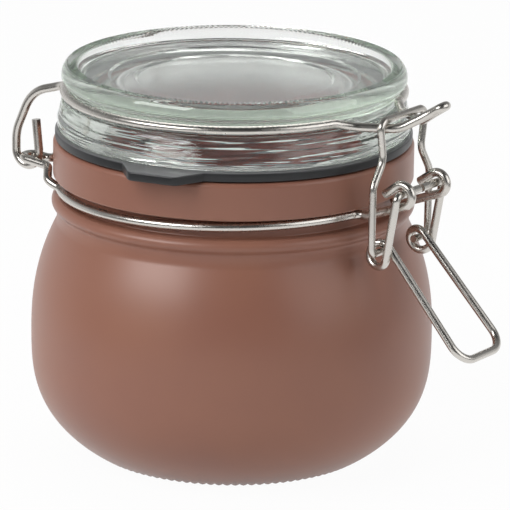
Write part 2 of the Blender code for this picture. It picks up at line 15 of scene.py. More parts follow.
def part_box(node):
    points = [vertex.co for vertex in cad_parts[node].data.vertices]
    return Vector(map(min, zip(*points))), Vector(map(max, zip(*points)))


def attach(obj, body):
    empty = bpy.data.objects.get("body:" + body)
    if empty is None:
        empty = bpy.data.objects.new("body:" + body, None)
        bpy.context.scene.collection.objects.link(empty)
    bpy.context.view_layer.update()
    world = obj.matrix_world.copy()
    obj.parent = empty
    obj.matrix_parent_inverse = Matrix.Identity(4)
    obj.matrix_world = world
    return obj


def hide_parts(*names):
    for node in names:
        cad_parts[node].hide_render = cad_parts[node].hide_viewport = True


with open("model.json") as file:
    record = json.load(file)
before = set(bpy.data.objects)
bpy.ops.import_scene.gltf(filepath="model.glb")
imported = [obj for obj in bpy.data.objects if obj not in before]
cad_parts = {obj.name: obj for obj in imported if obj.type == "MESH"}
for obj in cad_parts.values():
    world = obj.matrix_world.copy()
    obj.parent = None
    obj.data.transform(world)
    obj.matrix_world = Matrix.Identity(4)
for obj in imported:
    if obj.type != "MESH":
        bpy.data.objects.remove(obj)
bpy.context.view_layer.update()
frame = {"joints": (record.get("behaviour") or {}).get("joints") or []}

MM = 0.001

# Places read from the frame
JAR_LOW, JAR_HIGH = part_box("jar_body")
LID_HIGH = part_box("glass_lid")[1]
GASKET_LOW, GASKET_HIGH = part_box("rubber_gasket")
AXIS = Vector(((JAR_LOW.x + JAR_HIGH.x) / 2, 0, 0))
PIVOTS = {joint["name"]: Vector(joint["pos_m"]) - AXIS for joint in frame["joints"]}
HINGE = PIVOTS["lid_hinge"]
LEVER_PIVOT = PIVOTS["lever_pivot"]
LINK_PIVOT = PIVOTS["link_pivot"]

# The jar's body
BODY_RADIUS = (JAR_HIGH.x - JAR_LOW.x) / 2
JAR_HEIGHT = JAR_HIGH.z
NECK_RADIUS = 47.9 * MM
FOOT_RADIUS = 37.35 * MM
WALL = 3.6 * MM
BELT_Z = 32.0 * MM
BELLY_POWER = 3.0
BELLY_ROUNDNESS = 0.95
BELLY_CROWDING = 1.5
SHOULDER_POWER = 2.35
SHOULDER_POWER_INSIDE = 2.0
BEARING_WIDTH = 3.85 * MM
RECESS_DEPTH = 2.0 * MM
RECESS_RUN = 4.0 * MM
FLOOR_Z = 5.0 * MM
FLOOR_RADIUS = 33.5 * MM
LAND_HEIGHT = 9.96 * MM
GROOVE_HEIGHT = 5.3 * MM
GROOVE_DEPTH = 3.3 * MM
BEAD_RADIUS = 1.8 * MM
BEAD_PROUD = 0.4 * MM
BEAD_FLANK_TURN = 45
BEAD_TOP_TURN = 80
WAIST_INSET = 1.0 * MM
WAIST_HEIGHT = 3.6 * MM
WAIST_BEND = 1.8 * MM
NECK_WALL = 8.5 * MM
RIM_EDGE = 1.2 * MM
SOFT_EDGE = 0.5 * MM
FOOT_RIDGES = 108
FOOT_RIDGE_DEPTH = 0.42 * MM
FOOT_RIDGE_HEIGHT = 1.6 * MM

# The gasket and the lid
GASKET_INSET = 0.5 * MM
GASKET_EDGE = 0.45 * MM
TAB_DIRECTION = math.radians(-77.0)
TAB_REACH = 5.4 * MM
TAB_HALF_WIDTH = 7.6 * MM
TAB_ROOT_HALF_WIDTH = 11.5 * MM
TAB_CORNER = 2.2 * MM
TAB_CORNER_TURN = 60
LID_INSET = 1.1 * MM
LID_EDGE = 0.9 * MM
FLANGE_HEIGHT = 8.5 * MM
FLANGE_LEAN = 1.3 * MM
FLANGE_EDGE = 1.0 * MM
FLANGE_BEND = 4.0 * MM
LID_GROOVE_HEIGHT = 3.5 * MM
LID_GROOVE_DEPTH = 3.3 * MM
CROWN_INSET = 1.0 * MM
CROWN_LIP = 0.6 * MM
LAND_INSET = 2.1 * MM
LAND_WIDTH = 1.8 * MM
LAND_RIDGES = 192
LAND_RIDGE_DEPTH = 0.35 * MM
DISH_DEPTH = 3.35 * MM
DISH_SLOPE = 2.2 * MM
DISH_FILLET = 1.2 * MM
DISH_LIP_BEND = 0.2 * MM
SHELF_WIDTH = 6.7 * MM
LEDGE_WIDTH = 7.0 * MM
WELL_DEPTH = 1.05 * MM
STEP_RISE = 0.4 * MM
STEP_BEND = 0.3 * MM
SPIGOT_CLEARANCE = 1.2 * MM
SPIGOT_DEPTH = 4.2 * MM
SPIGOT_WALL = 3.4 * MM
LID_THICKNESS = 4.6 * MM
HOLLOW_TAPER = 3.8 * MM
HOLLOW_BEND = 3.0 * MM

# Wire sizes; two wires that touch keep WIRE_GAP between them
RING_WIRE = 2.35 * MM
LEVER_WIRE = 2.15 * MM
LINK_WIRE = 1.95 * MM
WIRE_GAP = 0.3 * MM
RING_GAP = 0.3 * MM

# The hinge: two eyes in the neck wire, each with a hook of the lid wire through it
HINGE_HALF_SPAN = 24.0 * MM
EYE_SLOPE = 0.09
EYE_ROOT_BEND = 1.5 * MM
EYE_ENTRY_BEND = 2.6 * MM
EYE_DESCENT = math.radians(9.0)
HOOK_RADIUS = 3.85 * MM
HOOK_SHIFT = 0.45 * MM
HOOK_STUB_RISE = 1.2 * MM
HOOK_STUB_HEIGHT = 9.2 * MM
HOOK_STUB_LEAN = 0.9 * MM
HOOK_STUB_BEND = 4.0 * MM
ARM_BEND = 5.0 * MM
ARM_TOP_BEND = 6.0 * MM
ARM_ELBOW_BEND = 11.0 * MM
ARM_KNEE_BEND = 12.0 * MM
ARM_TOP_REACH = 9.4 * MM
ARM_TOP_DROP = 1.45 * MM
ARM_ELBOW_REACH = 1.95 * MM
ARM_ELBOW_DROP = 3.65 * MM
ARM_KNEE_RISE = 6.2 * MM

# The clamp: the neck wire's eyelets hold the lever, whose own eyes hold the link
EYELET_RADIUS = 2.8 * MM
EYELET_CLIMB_START = 0.7 * MM
EYELET_FRONT_BEND = 3.0 * MM
EYELET_CLIMB_BEND = 4.0 * MM
EYELET_TAIL_ANGLE = math.radians(36.0)
EYELET_TAIL = 4.7 * MM
LEVER_HALF_WIDTH = 10.6 * MM
LEVER_PIN_END = 0.6 * MM
LEVER_PIN_BEND = 1.5 * MM
COIL_RADIUS = 3.0 * MM
HANDLE_REACH = 26.6 * MM
HANDLE_DROP = 24.1 * MM
HANDLE_HALF_WIDTH = 9.7 * MM
HANDLE_BEND = 5.0 * MM
LINK_TOP_REACH = 0.2 * MM
LINK_TOP_HALF_WIDTH = 10.4 * MM
LINK_TOP_BEND = 2.4 * MM
LINK_WAIST_HALF_WIDTH = 8.6 * MM
LINK_WAIST_DROP = 10.5 * MM
LINK_WAIST_BEND = 5.0 * MM
LINK_SHOULDER_DROP = 17.0 * MM
LINK_SHOULDER_BEND = 4.0 * MM
LINK_PIN_BEND = 1.6 * MM
LINK_PIN_LENGTH = 6.6 * MM
NOSE_REACH = 12.85 * MM
NOSE_RISE = 6.7 * MM
NOSE_ANGLE = math.radians(33.0)
NOSE_NECK = 3.2 * MM
NOSE_NECK_BEND = 10.0 * MM
NOSE_FRONT_BEND = 8.0 * MM
NOSE_ROOT_BEND = 8.0 * MM
NOSE_TIP_RADIUS = 1.45 * MM
NOSE_SEAT_DROP = 0.8 * MM
NOSE_FRONT_REACH = 2.4 * MM
NOSE_FRONT_HALF_WIDTH = 5.2 * MM
NOSE_ROOT_REACH = 7.4 * MM
NOSE_ROOT_HALF_WIDTH = 10.6 * MM
NOSE_SPLAY = math.radians(19.0)

# The finishes' patterns, by their real sizes
LACQUER_PATCH = 30 * MM
ORANGE_PEEL = 0.4 * MM
ORANGE_PEEL_DEPTH = 0.02 * MM
INSIDE_WAVE = 12 * MM
INSIDE_WAVE_DEPTH = 0.3 * MM
RIPPLE_LENGTH = 22 * MM
RIPPLE_STRETCH = 14
RIPPLE_DEPTH = 1.1 * MM
CROWN_RIPPLE = 0.02
DISH_DULLNESS = 0.16
MASK_EDGE = 1 * MM
RUBBER_PATCH = 6 * MM
# Share of light grey painted onto the rubber's up-facing surfaces, as painted light from above
TOP_LIGHT_SHARE = 0.62
RUBBER_SKIN = 0.5 * MM
RUBBER_SKIN_DEPTH = 0.03 * MM
RUBBER_SMEAR = 4 * MM
WIRE_PATCH = 3 * MM
NOISE_LOW = 0.3
NOISE_HIGH = 0.7

# Blender's colour mixing node has its colour sockets at these places
MIX_FACTOR = 0
MIX_A = 6
MIX_B = 7
MIX_RESULT = 2

# Fineness of the meshes
ROUND_SEGMENTS = 240
RIDGE_SEGMENTS = 4
FOOT_SEGMENTS = RIDGE_SEGMENTS * FOOT_RIDGES
LAND_SEGMENTS = RIDGE_SEGMENTS * LAND_RIDGES
CURVE_STEPS = 40
BEARING_STEPS = 4
BEAD_STEPS = 20
RIM_STEPS = 8
CROWN_STEPS = 16
TAB_CORNER_STEPS = 10
TAB_SIDE_STEPS = 6
GASKET_EDGE_STEPS = 5
PATH_TURN = 3.0
PLAN_TURN = math.radians(1.5)
DESCENT_STEPS = 24
WIRE_SIDES = 12
SHARP_ANGLE = math.radians(40.0)
TOLERANCE = 0.001 * MM

# Heights and radii that follow
LID_Z = GASKET_HIGH.z + (GASKET_LOW.z - JAR_HEIGHT)
LID_TOP = LID_HIGH.z
MOUTH_RADIUS = NECK_RADIUS - NECK_WALL
GROOVE_RADIUS = NECK_RADIUS - GROOVE_DEPTH
LAND_Z = JAR_HEIGHT - LAND_HEIGHT
GROOVE_Z = LAND_Z - GROOVE_HEIGHT
BEAD_Z = GROOVE_Z - BEAD_RADIUS
SHOULDER_Z = BEAD_Z - BEAD_RADIUS - WAIST_HEIGHT
LID_RADIUS = NECK_RADIUS - LID_INSET
CROWN_RADIUS = LID_RADIUS - CROWN_INSET
RIDGE_OUTER = CROWN_RADIUS - LAND_INSET
RIDGE_INNER = RIDGE_OUTER - LAND_WIDTH
DISH_RADIUS = RIDGE_INNER - DISH_SLOPE
LEDGE_RADIUS = DISH_RADIUS - SHELF_WIDTH
WELL_RADIUS = LEDGE_RADIUS - LEDGE_WIDTH
DISH_Z = LID_TOP - DISH_DEPTH
WELL_Z = DISH_Z - WELL_DEPTH
CEILING_Z = WELL_Z - LID_THICKNESS
SPIGOT_RADIUS = MOUTH_RADIUS - SPIGOT_CLEARANCE
SPIGOT_INNER_RADIUS = SPIGOT_RADIUS - SPIGOT_WALL
LID_HOLLOW_RADIUS = SPIGOT_INNER_RADIUS - HOLLOW_TAPER
SEAT_RADIUS = (SPIGOT_RADIUS + LID_RADIUS) / 2
LID_GROOVE_Z = LID_Z + FLANGE_HEIGHT
LID_GROOVE_RADIUS = LID_RADIUS - LID_GROOVE_DEPTH
NECK_RING_RADIUS = GROOVE_RADIUS + RING_WIRE / 2 + RING_GAP
NECK_RING_Z = GROOVE_Z + GROOVE_HEIGHT / 2
NECK_RING_TILT = GROOVE_HEIGHT / 2 - RING_WIRE / 2 - WIRE_GAP
LID_RING_RADIUS = LID_GROOVE_RADIUS + RING_WIRE / 2 + RING_GAP
LID_RING_Z = LID_GROOVE_Z + LID_GROOVE_HEIGHT / 2
LID_RING_TILT = LID_GROOVE_HEIGHT / 2 - RING_WIRE / 2 - WIRE_GAP
BACK_RADIUS = NECK_RADIUS + RING_WIRE / 2 + WIRE_GAP
LEVER_LIFT = EYELET_RADIUS - RING_WIRE / 2 - LEVER_WIRE / 2 - WIRE_GAP
LINK_LIFT = COIL_RADIUS - LEVER_WIRE / 2 - LINK_WIRE / 2 - WIRE_GAP
EYELET = LEVER_PIVOT - Vector((0, 0, LEVER_LIFT))
COIL = LINK_PIVOT - Vector((0, 0, LINK_LIFT))
EYELET_Y = LEVER_HALF_WIDTH - LEVER_WIRE / 2 - WIRE_GAP - RING_WIRE / 2
COIL_Y = LEVER_HALF_WIDTH - LEVER_WIRE - WIRE_GAP
LINK_HALF_WIDTH = LEVER_HALF_WIDTH + LEVER_WIRE / 2 + WIRE_GAP + LINK_WIRE / 2
EYE_HALF_WIDTH = RING_WIRE + WIRE_GAP
NOSE_Z = LID_RING_Z - NOSE_SEAT_DROP
LINK_TOP = Vector((LINK_PIVOT.x + LINK_TOP_REACH, 0, NOSE_Z + RING_WIRE / 2 + WIRE_GAP + LINK_WIRE / 2))

# The photograph's camera, aimed at the jar's axis, and the studio round it
CAMERA_AZIMUTH = math.radians(-53.9)
CAMERA_ELEVATION = math.radians(16.32)
CAMERA_DISTANCE = 1149 * MM
CAMERA_ROLL = math.radians(0.67)
TARGET = AXIS + Vector((0, 0, 50 * MM))
PICTURE_PX = 510
FOCAL_PX = 4296
TARGET_PX = (232.35, 262.79)
SENSOR_MM = 36
FLOOR_WIDTH = 0.5
FLOOR_LENGTH = 2.0
FLOOR_FRONT = 0.6
FLOOR_GAP = 0.05 * MM
FLOOR_GLOW_SHARE = 0.96
GLASS_BOUNCES = 24

# Where the white backdrop ends and the dim room begins: how far a direction leans to the camera's side, or up
BACKDROP_EDGE = -0.55
ROOM_EDGE = 0.3
ROOM_LEVEL = 0.12
BACKDROP_TOP = 0.05
CEILING_EDGE = 0.5
CEILING_LEVEL = 0.3


def srgb(hex_color):
    """The linear colour of an sRGB hex value such as "9A6B5B"."""
    channels = [int(hex_color[i:i + 2], 16) / 255 for i in (0, 2, 4)]
    return tuple(c / 12.92 if c <= 0.04045 else ((c + 0.055) / 1.055) ** 2.4 for c in channels) + (1.0,)


def add_node(tree, kind, settings=None, links=None):
    """Adds a shader node; settings are its properties and inputs, links its inputs fed from other sockets."""
    made = tree.nodes.new(kind)
    for key, value in (settings or {}).items():
        if isinstance(key, str) and hasattr(made, key):
            setattr(made, key, value)
        else:
            made.inputs[key].default_value = value
    for key, source in (links or {}).items():
        tree.links.new(source, made.inputs[key])
    return made


def new_material(name):
    """A material with its own empty node tree and an output node."""
    made = bpy.data.materials.new(name)
    made.use_nodes = True
    made.node_tree.nodes.clear()
    return made, made.node_tree, made.node_tree.nodes.new("ShaderNodeOutputMaterial")


def patchy(tree, size, low, high, detail=2.0):
    """A value that wanders from low to high over patches of about a real size."""
    surface = add_node(tree, "ShaderNodeTexCoord")
    noise = add_node(
        tree,
        "ShaderNodeTexNoise",
        {"Scale": 1 / size, "Detail": detail},
        {"Vector": surface.outputs["Object"]},
    )
    wandering = add_node(
        tree,
        "ShaderNodeMapRange",
        {"From Min": NOISE_LOW, "From Max": NOISE_HIGH, "To Min": low, "To Max": high},
        {"Value": noise.outputs["Fac"]},
    )
    return wandering.outputs["Result"]


def mottled(tree, dark, light, size, detail=2.0):
    """A colour that wanders between two, over patches of about a real size."""
    blend = add_node(
        tree,
        "ShaderNodeMix",
        {"data_type": "RGBA", MIX_A: srgb(dark), MIX_B: srgb(light)},
        {MIX_FACTOR: patchy(tree, size, 0, 1, detail)},
    )
    return blend.outputs[MIX_RESULT]


def uneven(tree, size, depth, strength):
    """The normal of a skin with soft bumps of about a real size and depth."""
    surface = add_node(tree, "ShaderNodeTexCoord")
    noise = add_node(
        tree,
        "ShaderNodeTexNoise",
        {"Scale": 1 / size, "Detail": 2.0},
        {"Vector": surface.outputs["Object"]},
    )
    bump = add_node(
        tree,
        "ShaderNodeBump",
        {"Strength": strength, "Distance": depth},
        {"Height": noise.outputs["Fac"]},
    )
    return bump.outputs["Normal"]


def sprayed_lacquer():
    """Satin lacquer sprayed on glass and baked: an even warm brown with a broad soft sheen."""
    made, tree, output = new_material("sprayed_lacquer")
    shader = add_node(
        tree,
        "ShaderNodeBsdfPrincipled",
        {"IOR": 1.5},
        {
            "Base Color": mottled(tree, "936454", "996956", LACQUER_PATCH),
            "Roughness": patchy(tree, LACQUER_PATCH, 0.34, 0.40),
            # The spray's own grain is about 0.1 mm, drawn coarser so that it shows
            "Normal": uneven(tree, ORANGE_PEEL, ORANGE_PEEL_DEPTH, 0.12),
        },
    )
    tree.links.new(shader.outputs["BSDF"], output.inputs["Surface"])
    return made


def lacquer_behind_glass():
    """The inside of the jar, where the brown lacquer shows through glossy glass, darker and redder."""
    made, tree, output = new_material("lacquer_behind_glass")
    shader = add_node(
        tree,
        "ShaderNodeBsdfPrincipled",
        {"IOR": 1.52, "Roughness": 0.06},
        {
            "Base Color": mottled(tree, "9A483A", "B05A4C", INSIDE_WAVE),
            "Normal": uneven(tree, INSIDE_WAVE, INSIDE_WAVE_DEPTH, 0.3),
        },
    )
    tree.links.new(shader.outputs["BSDF"], output.inputs["Surface"])
    return made


def pressed_glass():
    """Soda-lime glass pressed in a mould: clear, green where thick, rippled outside and dull in the dish."""
    made, tree, output = new_material("pressed_glass")
    surface = add_node(tree, "ShaderNodeTexCoord")
    height = add_node(tree, "ShaderNodeSeparateXYZ", links={"Vector": surface.outputs["Object"]})
    in_plan = add_node(
        tree,
        "ShaderNodeVectorMath",
        {"operation": "MULTIPLY", 1: (1, 1, 0)},
        {0: surface.outputs["Object"]},
    )
    from_axis = add_node(
        tree,
        "ShaderNodeVectorMath",
        {"operation": "LENGTH"},
        {0: in_plan.outputs["Vector"]},
    )

    # Ripples that run round the flange, long and low, and fade out up the crown and inside the lid
    stretched = add_node(
        tree,
        "ShaderNodeVectorMath",
        {"operation": "MULTIPLY", 1: (1, 1, RIPPLE_STRETCH)},
        {0: surface.outputs["Object"]},
    )
    ripples = add_node(
        tree,
        "ShaderNodeTexNoise",
        {"Scale": 1 / RIPPLE_LENGTH, "Detail": 1.0},
        {"Vector": stretched.outputs["Vector"]},
    )
    low_down = add_node(
        tree,
        "ShaderNodeMapRange",
        {
            "From Min": LID_GROOVE_Z,
            "From Max": LID_GROOVE_Z + LID_GROOVE_HEIGHT,
            "To Min": 1.0,
            "To Max": CROWN_RIPPLE,
        },
        {"Value": height.outputs["Z"]},
    )
    outside = add_node(
        tree,
        "ShaderNodeMapRange",
        {"From Min": SPIGOT_RADIUS - MASK_EDGE, "From Max": SPIGOT_RADIUS, "To Min": 0.0, "To Max": 1.0},
        {"Value": from_axis.outputs["Value"]},
    )
    rippled = add_node(
        tree,
        "ShaderNodeMath",
        {"operation": "MULTIPLY"},
        {0: outside.outputs["Result"], 1: low_down.outputs["Result"]},
    )
    bump = add_node(
        tree,
        "ShaderNodeBump",
        {"Distance": RIPPLE_DEPTH},
        {"Height": ripples.outputs["Fac"], "Strength": rippled.outputs["Value"]},
    )

    # The dish and the ceiling under it are dull from the mould
    in_dish = add_node(
        tree,
        "ShaderNodeMapRange",
        {"From Min": DISH_RADIUS - MASK_EDGE, "From Max": DISH_RADIUS, "To Min": 1.0, "To Max": 0.0},
        {"Value": from_axis.outputs["Value"]},
    )
    above_hollow = add_node(
        tree,
        "ShaderNodeMapRange",
        {
            "From Min": CEILING_Z - MASK_EDGE,
            "From Max": CEILING_Z - MASK_EDGE / 2,
            "To Min": 0.0,
            "To Max": DISH_DULLNESS,
        },
        {"Value": height.outputs["Z"]},
    )
    dull = add_node(
        tree,
        "ShaderNodeMath",
        {"operation": "MULTIPLY"},
        {0: in_dish.outputs["Result"], 1: above_hollow.outputs["Result"]},
    )

    shader = add_node(
        tree,
        "ShaderNodeBsdfPrincipled",
        {"Base Color": srgb("FBFBFB"), "IOR": 1.5, "Transmission Weight": 0.96},
        {"Normal": bump.outputs["Normal"], "Roughness": dull.outputs["Value"]},
    )
    green = add_node(tree, "ShaderNodeVolumeAbsorption", {"Color": srgb("B8E4B8"), "Density": 6.0})
    tree.links.new(shader.outputs["BSDF"], output.inputs["Surface"])
    tree.links.new(green.outputs["Volume"], output.inputs["Volume"])
    return made


def moulded_rubber():
    """Dark grey rubber pressed in a mould: matt, with painted light grey on surfaces that face up, for the
    light that falls on them.
    """
    made, tree, output = new_material("moulded_rubber")
    surface = add_node(tree, "ShaderNodeTexCoord")
    facing = add_node(tree, "ShaderNodeSeparateXYZ", links={"Vector": surface.outputs["Normal"]})
    # Painted light: the more a surface faces up, the more light grey is mixed in, for the light and
    # reflection from above on the tab's top
    painted_top_light = add_node(
        tree,
        "ShaderNodeMapRange",
        {"From Min": 0.5, "From Max": 0.95, "To Min": 0.0, "To Max": TOP_LIGHT_SHARE},
        {"Value": facing.outputs["Z"]},
    )
    color = add_node(
        tree,
        "ShaderNodeMix",
        {"data_type": "RGBA", MIX_B: srgb("8A8A8C")},
        {MIX_FACTOR: painted_top_light.outputs["Result"], MIX_A: mottled(tree, "1E1F21", "262729", RUBBER_PATCH, 4.0)},
    )
    shader = add_node(
        tree,
        "ShaderNodeBsdfPrincipled",
        {"IOR": 1.5},
        {
            "Base Color": color.outputs[MIX_RESULT],
            "Roughness": patchy(tree, RUBBER_PATCH, 0.34, 0.44, 4.0),
            "Normal": uneven(tree, RUBBER_SKIN, RUBBER_SKIN_DEPTH, 0.2),
        },
    )
    tree.links.new(shader.outputs["BSDF"], output.inputs["Surface"])
    return made


def rubber_against_glass():
    """The lid's underside where the rubber clings to it in patches, a smeared grey through the glass."""
    made, tree, output = new_material("rubber_against_glass")
    shader = add_node(
        tree,
        "ShaderNodeBsdfPrincipled",
        {"IOR": 1.5, "Roughness": 0.5},
        {"Base Color": mottled(tree, "86888A", "A4A5A6", RUBBER_SMEAR)},
    )
    tree.links.new(shader.outputs["BSDF"], output.inputs["Surface"])
    return made


def drawn_stainless():
    """Stainless wire drawn bright through a die: a soft mirror, a little duller in some patches."""
    made, tree, output = new_material("drawn_stainless")
    shader = add_node(
        tree,
        "ShaderNodeBsdfPrincipled",
        {"Base Color": srgb("D2CEC8"), "Metallic": 1.0},
        {"Roughness": patchy(tree, WIRE_PATCH, 0.24, 0.30)},
    )
    tree.links.new(shader.outputs["BSDF"], output.inputs["Surface"])
    return made


def studio_floor():
    """Matt white board, which camera, glass and metal see as a white backdrop with the jar's faint shadow."""
    made, tree, output = new_material("studio_floor")
    rays = add_node(tree, "ShaderNodeLightPath")
    seen = rays.outputs["Is Camera Ray"]
    for kind in ("Is Glossy Ray", "Is Transmission Ray"):
        either = add_node(tree, "ShaderNodeMath", {"operation": "MAXIMUM"}, {0: seen, 1: rays.outputs[kind]})
        seen = either.outputs["Value"]
    share = add_node(tree, "ShaderNodeMath", {"operation": "MULTIPLY", 1: FLOOR_GLOW_SHARE}, {0: seen})
    board = add_node(tree, "ShaderNodeBsdfDiffuse", {"Color": srgb("E8E8E8")})
    glow = add_node(tree, "ShaderNodeEmission", {"Strength": 1.0})
    mix = add_node(
        tree,
        "ShaderNodeMixShader",
        links={0: share.outputs["Value"], 1: board.outputs["BSDF"], 2: glow.outputs["Emission"]},
    )
    tree.links.new(mix.outputs["Shader"], output.inputs["Surface"])
    return made


def arc(middle, radius, start, end, steps):
    """Points of a circle in a plane between two angles in degrees, where 0 points along the first axis."""
    angles = [math.radians(start + (end - start) * i / steps) for i in range(steps + 1)]
    return [(middle[0] + radius * math.cos(a), middle[1] + radius * math.sin(a)) for a in angles]


def evenly(start, end, steps):
    """Points in a plane, evenly spaced along the straight line from start to end."""
    shares = [i / steps for i in range(steps + 1)]
    return [(start[0] + (end[0] - start[0]) * s, start[1] + (end[1] - start[1]) * s) for s in shares]


def bent(corners):
    """A fine path through corners of (point, bend radius); a bend radius of 0 keeps the corner itself."""
    path = [corners[0][0]]
    for (before, _), (corner, radius), (after, _) in zip(corners, corners[1:], corners[2:]):
        if not radius:
            path.append(corner)
            continue
        back = (before - corner).normalized()
        ahead = (after - corner).normalized()
        half = back.angle(ahead) / 2
        middle = corner + (back + ahead).normalized() * radius / math.sin(half)
        spoke = corner + back * radius / math.tan(half) - middle
        axis = back.cross(ahead)
        steps = max(2, math.ceil((math.pi - 2 * half) / math.radians(PATH_TURN)))
        for i in range(steps + 1):
            turn = Quaternion(axis, -(math.pi - 2 * half) * i / steps)
            path.append(middle + turn @ spoke)
    return path + [corners[-1][0]]


def outline(*corners):
    """A turned piece's outline from (radius, height, bend) corners, as fine (radius, height) points."""
    return [(p.x, p.z) for p in bent([(Vector((radius, 0, z)), bend) for radius, z, bend in corners])]


def finish_mesh(name, bm, materials, body, node):
    """Turns a bmesh drawn about the jar's axis into a smooth piece with sharp edges where it turns hard."""
    mesh = bpy.data.meshes.new(name)
    bmesh.ops.recalc_face_normals(bm, faces=bm.faces)
    bm.to_mesh(mesh)
    bm.free()
    for material in materials:
        mesh.materials.append(material)
    mesh.shade_smooth()
    mesh.set_sharp_from_angle(angle=SHARP_ANGLE)
    return place(name, mesh, body, node)


def place(name, data, body, node):
    """Puts a piece drawn about the jar's axis where its solid in the frame stands, riding on that body."""
    made = bpy.data.objects.new(name, data)
    bpy.context.scene.collection.objects.link(made)
    made.location = AXIS
    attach(made, body)
    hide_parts(node)
    return made


def turned(points, segments, shape, lining_from=None):
    """A mesh turned from an outline that starts and ends on the axis.

    shape moves each (radius, height, azimuth), and faces from lining_from on take the second material.
    """
    bm = bmesh.new()
    rings = []
    for radius, z in points:
        azimuths = [2 * math.pi * i / segments for i in range(segments)] if radius > 0 else [0]
        moved = [(*shape(radius, z, a), a) for a in azimuths]
        rings.append([bm.verts.new((r * math.cos(a), r * math.sin(a), h)) for r, h, a in moved])
    for k, (this, following) in enumerate(zip(rings, rings[1:])):
        for i in range(segments):
            pairs = [(this, i), (this, i + 1), (following, i + 1), (following, i)]
            corners = dict.fromkeys(ring[n % len(ring)] for ring, n in pairs)
            face = bm.faces.new(corners)
            face.material_index = int(lining_from is not None and k >= lining_from)
    return bm


def belly(foot_radius, foot_z, belt_radius):
    """The egg-like curve from the foot up to the belt, with its points closest where it turns most."""
    points = []
    for i in range(CURVE_STEPS + 1):
        rise = (i / CURVE_STEPS) ** BELLY_CROWDING
        bulge = (1 - (1 - rise) ** BELLY_POWER) ** BELLY_ROUNDNESS
        radius = foot_radius + (belt_radius - foot_radius) * bulge
        points.append((radius, foot_z + (BELT_Z - foot_z) * rise))
    return points


def shoulder(belt_radius, top_radius, top_z, power):
    """The curve from the belt up to the neck, without the belt's own point."""
    rises = [i / CURVE_STEPS for i in range(1, CURVE_STEPS + 1)]
    narrowing = belt_radius - top_radius
    return [(belt_radius - narrowing * rise**power, BELT_Z + (top_z - BELT_Z) * rise) for rise in rises]


def foot_ridges(radius, z, azimuth):
    """Small ridges pressed round the foot's bearing ring, which keep the hot glass off the mould."""
    inner = FOOT_RADIUS - BEARING_WIDTH
    if z > FOOT_RIDGE_HEIGHT or radius < inner - SOFT_EDGE:
        return radius, z
    notch = 1 - abs(math.sin(FOOT_RIDGES * azimuth / 2))
    return radius, z + FOOT_RIDGE_DEPTH * notch * (1 - z / FOOT_RIDGE_HEIGHT)


def make_jar(lacquer, lining):
    """The jar, turned with its foot ring, belly, bead, neck groove and rim, with the lining inside."""
    waist_radius = NECK_RADIUS - WAIST_INSET
    bead_center = NECK_RADIUS + BEAD_PROUD - BEAD_RADIUS
    flank = BEAD_RADIUS * math.cos(math.radians(BEAD_FLANK_TURN))
    bearing_inner = FOOT_RADIUS - BEARING_WIDTH
    inside = BODY_RADIUS - WALL
    outside = (
        [(0, RECESS_DEPTH), (bearing_inner - RECESS_RUN, RECESS_DEPTH)]
        + evenly((bearing_inner, 0), (FOOT_RADIUS, 0), BEARING_STEPS)[:-1]
        + belly(FOOT_RADIUS, 0, BODY_RADIUS)
        + shoulder(BODY_RADIUS, waist_radius, SHOULDER_Z, SHOULDER_POWER)
        + outline(
            (waist_radius, BEAD_Z - 2 * BEAD_RADIUS, 0),
            (waist_radius, BEAD_Z - flank - (bead_center + flank - waist_radius), WAIST_BEND),
            (bead_center + flank, BEAD_Z - flank, 0),
        )[:-1]
        + arc((bead_center, BEAD_Z), BEAD_RADIUS, -BEAD_FLANK_TURN, BEAD_TOP_TURN, BEAD_STEPS)
        + outline(
            (bead_center, GROOVE_Z, 0),
            (GROOVE_RADIUS, GROOVE_Z, SOFT_EDGE),
            (GROOVE_RADIUS, LAND_Z, SOFT_EDGE),
            (NECK_RADIUS, LAND_Z, SOFT_EDGE),
            (NECK_RADIUS, JAR_HEIGHT, RIM_EDGE),
            (MOUTH_RADIUS + RIM_EDGE, JAR_HEIGHT, 0),
        )
    )
    hollow = (
        arc((MOUTH_RADIUS + RIM_EDGE, JAR_HEIGHT - RIM_EDGE), RIM_EDGE, 90, 180, RIM_STEPS)[1:]
        + shoulder(inside, MOUTH_RADIUS, GROOVE_Z, SHOULDER_POWER_INSIDE)[::-1]
        + belly(FLOOR_RADIUS, FLOOR_Z, inside)[::-1]
        + [(0, FLOOR_Z)]
    )
    bm = turned(outside + hollow, FOOT_SEGMENTS, foot_ridges, len(outside) - 1)
    return finish_mesh("lacquered_jar", bm, [lacquer, lining], "jar", "jar_body")


def land_ridges(radius, z, azimuth):
    """Fine radial ridges pressed in the lid's top land, on which a second jar can stand without slipping."""
    if z < LID_TOP - CROWN_LIP or not RIDGE_INNER - SOFT_EDGE < radius < RIDGE_OUTER + SOFT_EDGE:
        return radius, z
    wave = (1 - math.cos(LAND_RIDGES * azimuth)) / 2
    return radius, z - LAND_RIDGE_DEPTH * wave


def pressed_on_rubber(point):
    """Whether a point of the lid lies on the inner part of its underside, which the rubber clings to."""
    return abs(point.z - LID_Z) < TOLERANCE and math.hypot(point.x, point.y) < SEAT_RADIUS + TOLERANCE


